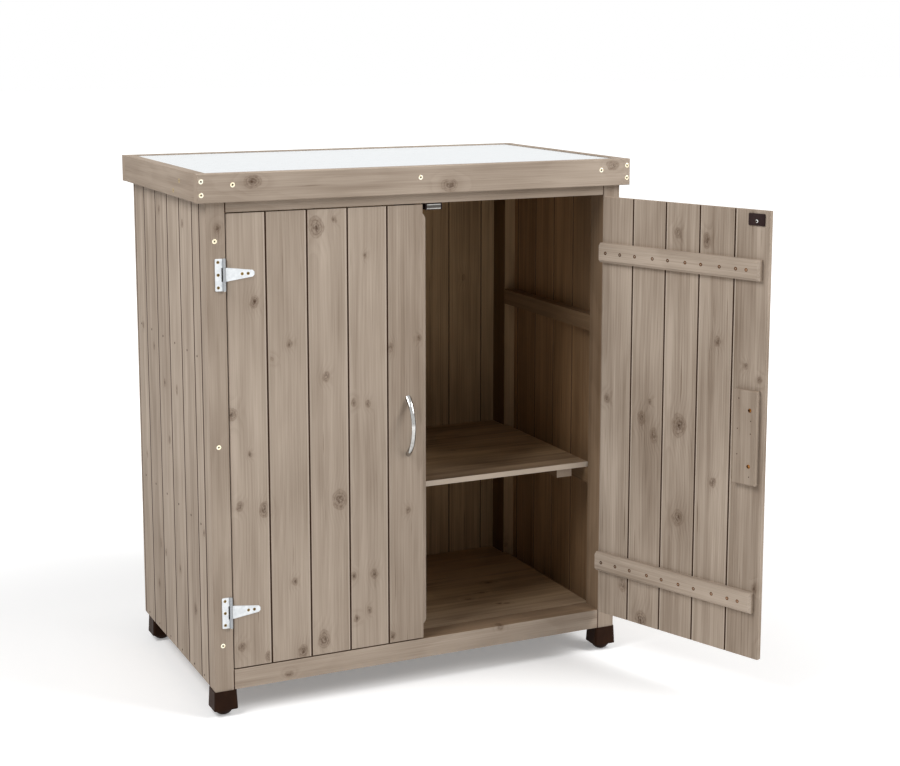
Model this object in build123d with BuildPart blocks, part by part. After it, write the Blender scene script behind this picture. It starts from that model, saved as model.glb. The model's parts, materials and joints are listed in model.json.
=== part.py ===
# Potting bench with a two-door cabinet, millimetres, Z up.
# Origin: on the ground under the centre of the top. The front looks towards -Y.
# Rest pose: left door closed, right door open.
import os
from math import asin, cos, radians, sin
from typing import NamedTuple

from build123d import *

# overall
top_width = 800.0
top_depth = 475.0
bench_height = 916.0
side_overhang = 15.0
front_overhang = 10.0
back_overhang = 17.5

# top frame, sheet and what carries it
apron_height = 47.0
apron_thickness = 19.0
apron_arris = 1.5
sheet_thickness = 0.8
sheet_recess = 1.0
sheet_gap = 0.5
sheet_corner = 4.0
deck_thickness = 3.0
deck_gap = 0.4
bearer_width = 21.0
bearer_height = 28.0
bearer_inset = 40.0
bearer_middle = -10.0

# feet
foot_height = 45.0
foot_width = 39.0
foot_depth = 36.0
foot_flare = 1.5
foot_skirt = 12.0
foot_corner = 4.0
foot_shift = 1.5
glide_radius = 17.0
glide_flat = 6.0

# posts and rails
post_width = 33.0
post_depth = 44.0
post_strip = 34.0
post_arris = 2.0
rear_post_depth = 48.0
upper_rail_height = 17.0
lower_rail_height = 34.5
rail_arris = 1.0
side_rail_height = 28.5
bottom_rail_height = 24.0
back_rail_depth = 21.0
low_shelf_rise = 260.0
high_shelf_drop = 241.5

# tongue-and-groove boards
board_thickness = 10.0
board_lift = 1.0
door_cover = 71.8
side_cover = 74.5
side_first = 42.0
board_joint = 0.4
board_bevel = 1.2
tongue_length = 5.0
tongue_thickness = 3.2
tongue_fit = 0.4

# floor, shelf and their cleats
floor_thickness = 10.0
floor_proud = 0.5
floor_front_gap = 1.0
shelf_thickness = 9.5
shelf_front_gap = 9.5
panel_bearing = 5.0
panel_back_gap = 2.0
notch_gap = 2.0
cleat_width = 30.5
cleat_height = 15.0
cleat_inset = 43.0
cleat_setback = 3.0

# doors
door_open = 110.3
door_side_gap = 1.5
door_top_gap = 2.0
door_foot_gap = 2.5
meeting_x = -2.0
meeting_gap = 1.5
strip_width = 17.0
strip_reach = 9.2
strip_thickness = 10.0
strip_relief = 0.5
strip_drop = 14.0
strip_rise = 19.0
strip_corner = 13.0
strip_arris = 1.0
ledger_height = 35.0
ledger_thickness = 12.0
ledger_bevel = 4.5
ledger_stop = 11.0
ledger_inset = 99.0
block_width = 46.0
block_height = 162.0
block_thickness = 12.0
block_arris = 2.0
block_shift = 10.7

# bow handles
handle_raise = 1.5
handle_spacing = 96.0
handle_projection = 25.0
handle_overrun = 0.5
handle_mid_width = 8.0
handle_mid_thickness = 4.6
handle_end_width = 11.0
handle_end_thickness = 8.4
left_handle_inset = 28.0
right_handle_inset = 21.0
handle_sections = 7

# T-hinges
axis_inset = 3.5
knuckle_radius = 2.7
knuckle_lift = 0.3
knuckle_gap = 0.3
pin_radius = 1.3
pin_fit = 0.05
pin_head_radius = 2.1
pin_head = 0.6
leaf_thickness = 1.5
hinge_height = 53.0
middle_knuckle = 22.4
plate_reach = 15.2
plate_slot = 4.5
plate_corner = 1.5
strap_reach = 51.5
strap_tip = 11.0
strap_clip = 3.0
strap_lift = 0.5
plate_screw_reach = 10.0
plate_screw_pitch = 20.8
strap_screw_first = 30.6
strap_screw_pitch = 10.2

# magnetic catches and strike plates
strike_width = 32.0
strike_height = 20.0
strike_thickness = 2.0
strike_corner = 1.5
strike_inset = 24.7
strike_drop = 15.4
catch_width = 38.0
catch_body = 31.0
catch_depth = 19.0
catch_height = 13.0
catch_ear = 2.5
catch_ear_depth = 11.0
catch_gap = 0.4
magnet_width = 26.0
magnet_height = 8.5
magnet_depth = 16.0
magnet_fit = 0.2

# screws
wood_head = 4.0
wood_shank = 2.0
wood_screw = 40.0
hinge_head = 2.6
hinge_shank = 1.4
plate_screw = 16.0
strap_screw = 18.0
handle_screw_head = 3.4
handle_screw_crown = 2.0
handle_screw_shank = 1.75
handle_screw_bite = 3.6
screw_clearance = 0.1
screw_point = 3.0
screw_recess = 0.55
screw_cone = 90
apron_screw_inset = 6.5
apron_screw_top = 12.0
apron_screw_pitch = 22.0
post_screw_inset = 15.0
post_screw_drop = 63.0
post_screw_rise = 79.5

# places that follow from the sizes
half_top_x = top_width / 2
half_top_y = top_depth / 2
half_body = half_top_x - side_overhang
front_y = -half_top_y + front_overhang
back_y = half_top_y - back_overhang
body_top = bench_height - apron_height
frame_x = half_top_x - apron_thickness
frame_y = half_top_y - apron_thickness
post_in = half_body - post_width
board_in = half_body - board_thickness
post_rear = front_y + post_depth
boards_front = front_y + post_strip
boards_rear = back_y - board_thickness
rear_post_front = boards_rear - rear_post_depth
boards_foot = foot_height + board_lift
lower_rail_top = foot_height + lower_rail_height
upper_rail_foot = body_top - upper_rail_height
floor_top = lower_rail_top + floor_proud
floor_foot = floor_top - floor_thickness
bottom_rail_foot = floor_foot - bottom_rail_height
shelf_front = post_rear + shelf_front_gap
low_shelf_height = floor_top + low_shelf_rise
high_shelf_height = body_top - high_shelf_drop

sheet_top = bench_height - sheet_recess
deck_top = sheet_top - sheet_thickness
deck_foot = deck_top - deck_thickness
bearer_z = deck_foot - bearer_height / 2
bearer_outer = frame_x - bearer_inset
bearer_places = (-bearer_outer, bearer_middle, bearer_outer)

door_foot = lower_rail_top + door_foot_gap
door_top = upper_rail_foot - door_top_gap
axis_x = post_in + axis_inset
axis_lift = knuckle_radius + knuckle_lift
axis_y = front_y - axis_lift
hinge_edge = axis_inset + door_side_gap
left_free_edge = axis_x + meeting_x
right_free_edge = axis_x - meeting_x - meeting_gap
upper_ledger_z = door_top - ledger_inset
lower_ledger_z = door_foot + ledger_inset
hinge_heights = (lower_ledger_z, upper_ledger_z)
handle_z = (door_top + door_foot) / 2 + handle_raise

os.makedirs("parts", exist_ok=True)


class Door(NamedTuple):
    """A door in its own frame: X along the door, Y into the cabinet, Z up, zero on the hinge axis."""

    frame: Plane
    side: int
    free_edge: float
    handle_reach: float


left = Door(
    Plane(origin=(-axis_x, axis_y, 0), x_dir=(1, 0, 0), z_dir=(0, 0, 1)),
    1,
    left_free_edge,
    left_free_edge - left_handle_inset,
)
right = Door(
    Plane(
        origin=(axis_x, axis_y, 0),
        x_dir=(cos(radians(door_open)), sin(radians(door_open)), 0),
        z_dir=(0, 0, 1),
    ),
    -1,
    right_free_edge,
    right_free_edge - right_handle_inset,
)


def save(piece, label):
    piece.part.label = label
    export_step(piece.part, f"parts/{label}.step")


def facing(x, y, z, outward):
    """A place on an upright face whose normal points to -Y (outward -1) or +Y (outward 1)."""
    return Plane(origin=(x, y, z), x_dir=(-outward, 0, 0), z_dir=(0, outward, 0)).location


def door_face(door, depth=0.0):
    """The door's outer face, or a plane that far behind it, looking out of the cabinet."""
    origin = door.frame.from_local_coords((0, axis_lift + depth, 0))
    return Plane(origin=origin, x_dir=door.frame.x_dir, z_dir=-door.frame.y_dir)


def post_face(door):
    """The post's front face beside a door, zero on the hinge axis."""
    return Plane(origin=(-door.side * axis_x, front_y, 0), x_dir=(1, 0, 0), z_dir=(0, -1, 0))


def bar(x_range, y_range, z_range):
    """A plain length of timber between three pairs of limits."""
    with BuildPart() as timber:
        with BuildSketch(Plane.XY.offset(z_range[0])):
            with Locations((sum(x_range) / 2, sum(y_range) / 2)):
                Rectangle(x_range[1] - x_range[0], y_range[1] - y_range[0])
        extrude(amount=z_range[1] - z_range[0])
    return timber


def mirrored(side, near, far):
    """Limits on the right (side 1) or left (side -1) of the middle, in rising order."""
    return tuple(sorted((side * near, side * far)))


def screw_form(head, shank, length):
    """Countersunk screw along Z, the head's flat top at zero, with a driver recess."""
    recess = head * screw_recess
    with BuildPart() as form:
        with BuildSketch(Plane.XZ):
            with BuildLine():
                Polyline(
                    (0, -recess),
                    (recess, 0),
                    (head, 0),
                    (shank, shank - head),
                    (shank, screw_point - length),
                    (0, -length),
                    close=True,
                )
            make_face()
        revolve(axis=Axis.Z)
    return form.part


def screw_group(form, places):
    with BuildPart() as group:
        with Locations(*places):
            add(form)
    return group


def sink(head, shank, places, depth=None):
    """Countersunk holes for screws, to be called inside the part that takes them."""
    with Locations(*places):
        CounterSinkHole(
            shank + screw_clearance,
            head + screw_clearance,
            depth=depth,
            counter_sink_angle=screw_cone,
        )


def pilot(shank, length, places):
    """Straight holes that take the shanks of screws whose head tops are at the places."""
    with Locations(*places):
        Hole(shank + screw_clearance, depth=length + screw_clearance)


# top frame
def apron_screw_places(outward):
    face_y = outward * half_top_y
    ends = [
        (end * (half_top_x - apron_screw_inset), bench_height - apron_screw_top - row * apron_screw_pitch)
        for end in (-1, 1)
        for row in (0, 1)
    ]
    middles = [(x, bearer_z) for x in bearer_places]
    return [facing(x, face_y, z, outward) for x, z in ends + middles]


apron_screw_sites = apron_screw_places(-1) + apron_screw_places(1)


def long_apron(outward):
    """Front or back board of the top frame: laps the side boards, screws let into its face."""
    with BuildPart() as board:
        with BuildSketch(Plane.XY.offset(body_top)):
            with Locations((0, outward * (half_top_y - apron_thickness / 2))):
                Rectangle(top_width, apron_thickness)
        extrude(amount=apron_height)
        face = board.faces().sort_by(Axis.Y)[-1 if outward > 0 else 0]
        fillet(face.edges(), radius=apron_arris)
        sink(wood_head, wood_shank, apron_screw_places(outward))
    return board


def side_apron(side):
    """Side board of the top frame, with the ends bored for the screws of the long boards."""
    with BuildPart() as board:
        with BuildSketch(Plane.XY.offset(body_top)):
            with Locations((side * (half_top_x - apron_thickness / 2), 0)):
                Rectangle(apron_thickness, 2 * frame_y)
        extrude(amount=apron_height)
        outer = board.faces().sort_by(Axis.X)[-1 if side > 0 else 0]
        fillet(outer.edges().filter_by(Axis.Y), radius=apron_arris)
        pilot(wood_shank, wood_screw, apron_screw_sites)
    return board


apron_front = long_apron(-1)
apron_back = long_apron(1)
apron_left = side_apron(-1)
apron_right = side_apron(1)

# sheet folded down at its edges over the deck
with BuildPart() as sheet_metal_top:
    rim = sheet_thickness + deck_thickness - deck_gap
    with BuildSketch(Plane.XY.offset(sheet_top - rim)):
        RectangleRounded(2 * (frame_x - sheet_gap), 2 * (frame_y - sheet_gap), sheet_corner)
    extrude(amount=rim)
    offset(amount=-sheet_thickness, openings=sheet_metal_top.faces().sort_by(Axis.Z)[0])

with BuildPart() as top_deck:
    inset = sheet_gap + sheet_thickness + deck_gap
    with BuildSketch(Plane.XY.offset(deck_foot)):
        RectangleRounded(2 * (frame_x - inset), 2 * (frame_y - inset), sheet_corner)
    extrude(amount=deck_thickness)

with BuildPart() as top_bearers:
    with BuildSketch(Plane.XY.offset(deck_foot - bearer_height)):
        with Locations(*[(x, 0) for x in bearer_places]):
            Rectangle(bearer_width, 2 * frame_y)
    extrude(amount=bearer_height)
    pilot(wood_shank, wood_screw, apron_screw_sites)


# posts
def hinge_screw_places(door):
    """On the outer side of the post plates, three to a hinge."""
    x = -door.side * plate_screw_reach
    return [
        post_face(door) * Pos(x, height + row * plate_screw_pitch, leaf_thickness)
        for height in hinge_heights
        for row in (-1, 0, 1)
    ]


def post_screw_places(side):
    x = side * (half_body - post_screw_inset)
    low = foot_height + post_screw_rise
    high = body_top - post_screw_drop
    return [facing(x, front_y, z, -1) for z in (low, (low + high) / 2, high)]


def front_post(side, door):
    """Front post, rebated at the outer rear corner for the side boards."""
    with BuildPart() as post:
        with BuildSketch(Plane.XY.offset(foot_height)):
            with BuildLine():
                Polyline(
                    (side * post_in, front_y),
                    (side * half_body, front_y),
                    (side * half_body, boards_front),
                    (side * board_in, boards_front),
                    (side * board_in, post_rear),
                    (side * post_in, post_rear),
                    close=True,
                )
            make_face()
        extrude(amount=body_top - foot_height)
        front_edges = post.edges().filter_by(Axis.Z).group_by(Axis.Y)[0]
        fillet(front_edges, radius=post_arris)
        sink(wood_head, wood_shank, post_screw_places(side), depth=wood_screw + screw_clearance)
        pilot(hinge_shank, plate_screw, hinge_screw_places(door))
    return post


front_post_left = front_post(-1, left)
front_post_right = front_post(1, right)


def rear_post(side):
    return bar(mirrored(side, post_in, board_in), (rear_post_front, boards_rear), (foot_height, body_top))


rear_post_left = rear_post(-1)
rear_post_right = rear_post(1)


# rails
def front_rail(depth, z_range):
    with BuildPart() as rail:
        with BuildSketch(Plane.XY.offset(z_range[0])):
            with Locations((0, front_y + depth / 2)):
                Rectangle(2 * post_in, depth)
        extrude(amount=z_range[1] - z_range[0])
        front = rail.faces().sort_by(Axis.Y)[0]
        fillet(front.edges().filter_by(Axis.X), radius=rail_arris)
    return rail


upper_front_rail = front_rail(post_strip, (upper_rail_foot, body_top))
lower_front_rail = front_rail(post_depth, (foot_height, lower_rail_top))


def side_rail(side, top, height):
    return bar(mirrored(side, post_in, board_in), (post_rear, rear_post_front), (top - height, top))


def shelf_rails(side):
    """The two rails on one side that carry the shelf at either height."""
    with BuildPart() as rails:
        for top in (low_shelf_height, high_shelf_height):
            with BuildSketch(Plane.XY.offset(top - side_rail_height)):
                with Locations((side * (post_in + board_in) / 2, (post_rear + rear_post_front) / 2)):
                    Rectangle(board_in - post_in, rear_post_front - post_rear)
            extrude(amount=side_rail_height)
    return rails


shelf_rails_left = shelf_rails(-1)
shelf_rails_right = shelf_rails(1)
top_rail_left = side_rail(-1, body_top, side_rail_height)
top_rail_right = side_rail(1, body_top, side_rail_height)
bottom_rail_left = side_rail(-1, floor_foot, bottom_rail_height)
bottom_rail_right = side_rail(1, floor_foot, bottom_rail_height)

back_rail_span = (boards_rear - back_rail_depth, boards_rear)
back_top_rail = bar((-post_in, post_in), back_rail_span, (body_top - side_rail_height, body_top))
back_bottom_rail = bar((-post_in, post_in), back_rail_span, (bottom_rail_foot, floor_foot))


# boards
def edge_points(kind):
    """One edge of a board from the outer face to the inner: (out from the shoulder, depth)."""
    bevel = board_bevel
    rear = board_thickness
    near = (board_thickness - tongue_thickness) / 2
    far = near + tongue_thickness
    if kind == "tongue":
        middle = [(0, near), (tongue_length, near), (tongue_length, far), (0, far)]
    elif kind == "groove":
        floor = -tongue_length - tongue_fit
        middle = [
            (0, near - tongue_fit),
            (floor, near - tongue_fit),
            (floor, far + tongue_fit),
            (0, far + tongue_fit),
        ]
    else:
        middle = []
    return [(-bevel, 0), (0, bevel), *middle, (0, rear - bevel), (-bevel, rear)]


def board_outline(start, end, start_kind, end_kind, along):
    """Section of one board lying between two seams, drawn along +X or -X of its plane."""
    joint = board_joint / 2
    first = [(start + joint - out, depth) for out, depth in edge_points(start_kind)]
    last = [(end - joint + out, depth) for out, depth in edge_points(end_kind)]
    outline = first[::-1] + last
    return [(along * x, depth) for x, depth in outline]


def board_row(plane, seams, along):
    """Sections of boards side by side, each its own outline, on one plane."""
    count = len(seams) - 1
    with BuildSketch(plane) as row:
        for index in range(count):
            start_kind = "groove" if index else "plain"
            end_kind = "tongue" if index < count - 1 else "plain"
            outline = board_outline(seams[index], seams[index + 1], start_kind, end_kind, along)
            with BuildLine():
                Polyline(*outline, close=True)
            make_face()
    return row.sketch


def even_seams(start, end, cover):
    """Seams of full boards centred between two limits, with an equal narrower board at each end."""
    full = int((end - start) / cover) - 1
    margin = (end - start - full * cover) / 2
    return [start] + [start + margin + cover * index for index in range(full + 1)] + [end]


def side_boards(side):
    count = round((boards_rear - boards_front - side_first) / side_cover)
    seams = [boards_front] + [boards_front + side_first + side_cover * index for index in range(count)]
    seams.append(boards_rear)
    plane = Plane(origin=(side * half_body, 0, boards_foot), x_dir=(0, side, 0), z_dir=(0, 0, 1))
    with BuildPart() as boards:
        extrude(board_row(plane, seams, side), amount=body_top - boards_foot)
    return boards


side_boards_left = side_boards(-1)
side_boards_right = side_boards(1)

with BuildPart() as back_boards:
    back_plane = Plane(origin=(0, back_y, boards_foot), x_dir=(-1, 0, 0), z_dir=(0, 0, 1))
    back_seams = even_seams(-half_body, half_body, door_cover)
    extrude(board_row(back_plane, back_seams, 1), amount=body_top - boards_foot)


# floor and shelf
def panel(front, top, thickness):
    """A panel on the side rails, notched round the rear posts."""
    reach = post_in + panel_bearing
    rear = boards_rear - panel_back_gap
    notch_x = post_in - notch_gap
    notch_y = rear_post_front - notch_gap
    with BuildPart() as board:
        with BuildSketch(Plane.XY.offset(top - thickness)):
            with BuildLine():
                Polyline(
                    (0, front),
                    (reach, front),
                    (reach, notch_y),
                    (notch_x, notch_y),
                    (notch_x, rear),
                    (0, rear),
                )
                mirror(about=Plane.YZ)
            make_face()
        extrude(amount=thickness)
    return board


def cleats(front, top):
    """The pair of battens under a panel."""
    offset_x = post_in - cleat_inset
    rear = boards_rear - back_rail_depth - cleat_setback
    with BuildPart() as pair:
        with BuildSketch(Plane.XY.offset(top - cleat_height)):
            for side in (-1, 1):
                with Locations((side * offset_x, (front + rear) / 2)):
                    Rectangle(cleat_width, rear - front)
        extrude(amount=cleat_height)
    return pair


floor_panel = panel(post_rear + floor_front_gap, floor_top, floor_thickness)
floor_cleats = cleats(post_rear + floor_front_gap, floor_foot)
shelf_panel = panel(shelf_front, low_shelf_height + shelf_thickness, shelf_thickness)
shelf_cleats = cleats(shelf_front + cleat_setback, low_shelf_height)


# feet
def foot(x, y):
    """Flared square cap with a round glide below."""
    with BuildPart() as cap:
        with BuildSketch(Plane((x, y, foot_height))):
            RectangleRounded(foot_width, foot_depth, foot_corner)
        with BuildSketch(Plane((x, y, foot_skirt))):
            RectangleRounded(foot_width + 2 * foot_flare, foot_depth + 2 * foot_flare, foot_corner)
        loft()
        with BuildSketch(Plane(origin=(x, y, 0), x_dir=(1, 0, 0), z_dir=(0, -1, 0))):
            with BuildLine():
                Polyline((glide_radius, foot_skirt), (0, foot_skirt), (0, 0), (glide_flat, 0))
                RadiusArc((glide_flat, 0), (glide_radius, foot_skirt), -glide_radius)
            make_face()
        revolve(axis=Axis((x, y, 0), (0, 0, 1)))
    return cap


front_foot_x = half_body - post_width / 2 - foot_shift
front_foot_y = front_y + foot_depth / 2 - foot_shift
rear_foot_x = (post_in + board_in) / 2
rear_foot_y = (rear_post_front + boards_rear) / 2
foot_front_left = foot(-front_foot_x, front_foot_y)
foot_front_right = foot(front_foot_x, front_foot_y)
foot_rear_left = foot(-rear_foot_x, rear_foot_y)
foot_rear_right = foot(rear_foot_x, rear_foot_y)


# doors
def strap_screw_places(door):
    """On the outer side of the straps, two to a hinge."""
    reaches = (strap_screw_first, strap_screw_first + strap_screw_pitch)
    return [
        door_face(door) * Pos(door.side * reach, height, leaf_thickness)
        for height in hinge_heights
        for reach in reaches
    ]


def handle_screw_places(door):
    """On the inner face of the handle block, looking into the cabinet."""
    inner = door_face(door, board_thickness + block_thickness)
    facing_in = Plane(origin=inner.origin, x_dir=-inner.x_dir, z_dir=-inner.z_dir)
    reach = -door.side * door.handle_reach
    return [facing_in * Pos(reach, handle_z + end * handle_spacing / 2, 0) for end in (-1, 1)]


def door_holes(door):
    """Holes for the strap and handle screws, to be called inside a part of the door."""
    pilot(hinge_shank, strap_screw, strap_screw_places(door))
    length = board_thickness + block_thickness
    pilot(handle_screw_shank, length, handle_screw_places(door))


def door_boards(door):
    """Five boards as separate solids, with the holes for the door's fittings."""
    plane = door.frame.offset(door_foot)
    plane = Plane(origin=plane.from_local_coords((0, axis_lift, 0)), x_dir=plane.x_dir, z_dir=plane.z_dir)
    with BuildPart() as boards:
        seams = even_seams(hinge_edge, door.free_edge, door_cover)
        extrude(board_row(plane, seams, door.side), amount=door_top - door_foot)
        door_holes(door)
    return boards


def meeting_strip(door):
    """Strip behind the meeting edge that the other door closes on, rounded at its free corners."""
    tip = door.free_edge + strip_reach
    foot, head = door_foot + strip_rise, door_top - strip_drop
    middle = (foot + head) / 2
    with BuildPart() as strip:
        with BuildSketch(door_face(door, board_thickness + strip_thickness)):
            with Locations((tip - strip_width / 2, middle)):
                outline = Rectangle(strip_width, head - foot)
            fillet(outline.vertices().group_by(Axis.X)[-1], radius=strip_corner)
        extrude(amount=strip_thickness)
        chamfer(strip.faces().sort_by(Axis.Y)[-1].edges(), length=strip_arris)
        with BuildSketch(door_face(door, board_thickness + strip_relief)):
            with Locations((tip - strip_reach / 2, middle)):
                Rectangle(strip_reach, head - foot)
        extrude(amount=strip_relief, mode=Mode.SUBTRACT)
    return strip


def ledger(door, height):
    """Batten across the inside of a door, bevelled along its edges and at its free end."""
    end = door.free_edge - ledger_stop
    with BuildPart() as batten:
        with BuildSketch(door_face(door, board_thickness + ledger_thickness)):
            with Locations((door.side * (hinge_edge + end) / 2, height)):
                Rectangle(end - hinge_edge, ledger_height)
        extrude(amount=ledger_thickness)
        outward = Axis((0, 0, 0), door_face(door).z_dir)
        along = Axis((0, 0, 0), door.side * door.frame.x_dir)
        inner_edges = batten.faces().sort_by(outward)[0].edges()
        chamfer(inner_edges.sort_by(along)[1:], length=ledger_bevel)
        door_holes(door)
    return batten


def handle_block(door):
    """Block behind the handle that its screws pass through."""
    with BuildPart() as block:
        with BuildSketch(door_face(door, board_thickness + block_thickness)):
            with Locations((door.side * (door.handle_reach - block_shift), handle_z)):
                Rectangle(block_width, block_height)
        extrude(amount=block_thickness)
        outward = Axis((0, 0, 0), door_face(door).z_dir)
        chamfer(block.faces().sort_by(outward)[0].edges(), length=block_arris)
        door_holes(door)
    return block


def bow_handle(door):
    """Bow of oval section, slimmer towards the middle, cut flush with the door's face."""
    half_span = handle_spacing / 2 + handle_overrun
    rise = handle_projection - handle_mid_thickness / 2
    radius = (half_span**2 + rise**2) / (2 * rise)
    foot_angle = asin(half_span / radius)
    reach_angle = foot_angle + handle_end_thickness / radius
    face = door_face(door)
    with BuildPart() as handle:
        for index in range(handle_sections):
            share = 2 * index / (handle_sections - 1) - 1
            angle = share * reach_angle
            spread = (angle / foot_angle) ** 2
            width = handle_mid_width + (handle_end_width - handle_mid_width) * spread
            thickness = handle_mid_thickness + (handle_end_thickness - handle_mid_thickness) * spread
            centre = face.from_local_coords(
                (
                    door.side * door.handle_reach,
                    handle_z + radius * sin(angle),
                    rise - radius + radius * cos(angle),
                )
            )
            tangent = Vector(0, 0, 1) * cos(angle) - face.z_dir * sin(angle)
            with BuildSketch(Plane(origin=centre, x_dir=face.x_dir, z_dir=tangent)):
                Ellipse(width / 2, thickness / 2)
        loft()
        split(bisect_by=face, keep=Keep.TOP)
        x = door.side * door.handle_reach
        feet = [face * Pos(x, handle_z + end * handle_spacing / 2, 0) for end in (-1, 1)]
        with Locations(*feet):
            Cylinder(
                handle_screw_shank + screw_clearance,
                handle_screw_bite + screw_clearance,
                align=(Align.CENTER, Align.CENTER, Align.MIN),
                mode=Mode.SUBTRACT,
            )
    return handle


def strike_plate(door):
    with BuildPart() as plate:
        with BuildSketch(door_face(door, board_thickness + strike_thickness)):
            with Locations((door.side * (door.free_edge - strike_inset), door_top - strike_drop)):
                RectangleRounded(strike_width, strike_height, strike_corner)
        extrude(amount=strike_thickness)
    return plate


def barrel(door, height, low, high, radius, mode=Mode.ADD):
    """A round about the axis between two levels above the hinge's middle, for the part it is called in."""
    with BuildSketch(door.frame.offset(height + low)) as circle:
        Circle(radius)
    extrude(circle.sketch, amount=high - low, mode=mode)


def bore(door, height):
    """Bore for the pin through the knuckles of one hinge, with its running clearance."""
    barrel(door, height, -hinge_height, hinge_height, pin_radius + pin_fit, Mode.SUBTRACT)


def hinge_straps(door):
    """Tapering straps with the middle knuckles, one for each of the door's two hinges."""
    half_root = middle_knuckle / 2
    half_tip = strap_tip / 2
    with BuildPart() as straps:
        for height in hinge_heights:
            with BuildSketch(door_face(door)):
                with BuildLine():
                    Polyline(
                        (door.side * hinge_edge, height - half_root),
                        (door.side * (strap_reach - strap_clip), height - half_tip),
                        (door.side * strap_reach, height - half_tip + strap_clip),
                        (door.side * strap_reach, height + half_tip - strap_clip),
                        (door.side * (strap_reach - strap_clip), height + half_tip),
                        (door.side * hinge_edge, height + half_root),
                        close=True,
                    )
                make_face()
            extrude(amount=leaf_thickness)
            with BuildSketch(door_face(door, -strap_lift)):
                with Locations((door.side * hinge_edge / 2, height)):
                    Rectangle(hinge_edge, middle_knuckle)
            extrude(amount=leaf_thickness - strap_lift)
            barrel(door, height, -half_root, half_root, knuckle_radius)
            bore(door, height)
        sink(hinge_head, hinge_shank, strap_screw_places(door), depth=leaf_thickness)
    return straps


def hinge_plates(door):
    """Post plates with the outer knuckles and the slot beside the middle one."""
    inner = middle_knuckle / 2 + knuckle_gap
    outer = hinge_height / 2
    with BuildPart() as plates:
        for height in hinge_heights:
            with BuildSketch(post_face(door)):
                with Locations((-door.side * plate_reach / 2, height)):
                    RectangleRounded(plate_reach, hinge_height, plate_corner)
                with Locations((-door.side * plate_slot / 2, height)):
                    Rectangle(plate_slot, 2 * inner, mode=Mode.SUBTRACT)
            extrude(amount=leaf_thickness)
            barrel(door, height, inner, outer, knuckle_radius)
            barrel(door, height, -outer, -inner, knuckle_radius)
            bore(door, height)
        sink(hinge_head, hinge_shank, hinge_screw_places(door), depth=leaf_thickness)
    return plates


left_door_boards = door_boards(left)
left_meeting_strip = meeting_strip(left)
left_upper_ledger = ledger(left, upper_ledger_z)
left_lower_ledger = ledger(left, lower_ledger_z)
left_handle_block = handle_block(left)
left_handle = bow_handle(left)
left_strike_plate = strike_plate(left)
left_hinge_straps = hinge_straps(left)
left_hinge_plates = hinge_plates(left)

right_door_boards = door_boards(right)
right_upper_ledger = ledger(right, upper_ledger_z)
right_lower_ledger = ledger(right, lower_ledger_z)
right_handle_block = handle_block(right)
right_handle = bow_handle(right)
right_strike_plate = strike_plate(right)
right_hinge_straps = hinge_straps(right)
right_hinge_plates = hinge_plates(right)

with BuildPart() as hinge_pins:
    half_pin = hinge_height / 2
    for door in (left, right):
        for height in hinge_heights:
            barrel(door, height, -half_pin, half_pin, pin_radius)
            barrel(door, height, half_pin, half_pin + pin_head, pin_head_radius)
            barrel(door, height, -half_pin - pin_head, -half_pin, pin_head_radius)


# magnetic catches under the upper front rail, one facing each strike plate
catch_front = front_y + board_thickness + strike_thickness + catch_gap
left_strike_x = meeting_x - strike_inset
right_strike_x = meeting_x + meeting_gap + strike_inset
magnet_foot = upper_rail_foot - catch_height + (catch_height - catch_ear - magnet_height) / 2


def catch(x):
    """Catch housing: a case open to the front between two screwed ears."""
    with BuildPart() as case:
        with BuildSketch(Plane.XY.offset(upper_rail_foot - catch_height)):
            with Locations((x, catch_front + catch_depth / 2)):
                Rectangle(catch_body, catch_depth)
        extrude(amount=catch_height)
        with BuildSketch(Plane.XY.offset(upper_rail_foot - catch_ear)):
            with Locations((x, catch_front + catch_depth / 2)):
                SlotOverall(catch_width, catch_ear_depth)
        extrude(amount=catch_ear)
        with BuildSketch(Plane.XZ.offset(-catch_front)):
            with Locations((x, magnet_foot + magnet_height / 2)):
                Rectangle(magnet_width + 2 * magnet_fit, magnet_height + 2 * magnet_fit)
        extrude(amount=-magnet_depth - magnet_fit, mode=Mode.SUBTRACT)
    return case


catch_left = catch(left_strike_x)
catch_right = catch(right_strike_x)

with BuildPart() as catch_magnets:
    with BuildSketch(Plane.XY.offset(magnet_foot)):
        with Locations(*[(x, catch_front + magnet_depth / 2) for x in (left_strike_x, right_strike_x)]):
            Rectangle(magnet_width, magnet_depth)
    extrude(amount=magnet_height)

# screws
wood_screw_form = screw_form(wood_head, wood_shank, wood_screw)
plate_screw_form = screw_form(hinge_head, hinge_shank, plate_screw)
strap_screw_form = screw_form(hinge_head, hinge_shank, strap_screw)

with BuildPart() as handle_screw_form:
    handle_screw_length = block_thickness + board_thickness + handle_screw_bite
    crown_radius = (handle_screw_head**2 + handle_screw_crown**2) / (2 * handle_screw_crown)
    with BuildSketch(Plane.XZ):
        with BuildLine():
            Polyline(
                (0, handle_screw_crown),
                (0, -handle_screw_length),
                (handle_screw_shank, -handle_screw_length),
                (handle_screw_shank, 0),
                (handle_screw_head, 0),
            )
            RadiusArc((handle_screw_head, 0), (0, handle_screw_crown), -crown_radius)
        make_face()
    revolve(axis=Axis.Z)

apron_screws = screw_group(wood_screw_form, apron_screw_sites)
post_screws = screw_group(wood_screw_form, post_screw_places(-1) + post_screw_places(1))
plate_screws = screw_group(plate_screw_form, hinge_screw_places(left) + hinge_screw_places(right))
left_strap_screws = screw_group(strap_screw_form, strap_screw_places(left))
right_strap_screws = screw_group(strap_screw_form, strap_screw_places(right))
left_handle_screws = screw_group(handle_screw_form.part, handle_screw_places(left))
right_handle_screws = screw_group(handle_screw_form.part, handle_screw_places(right))

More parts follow.
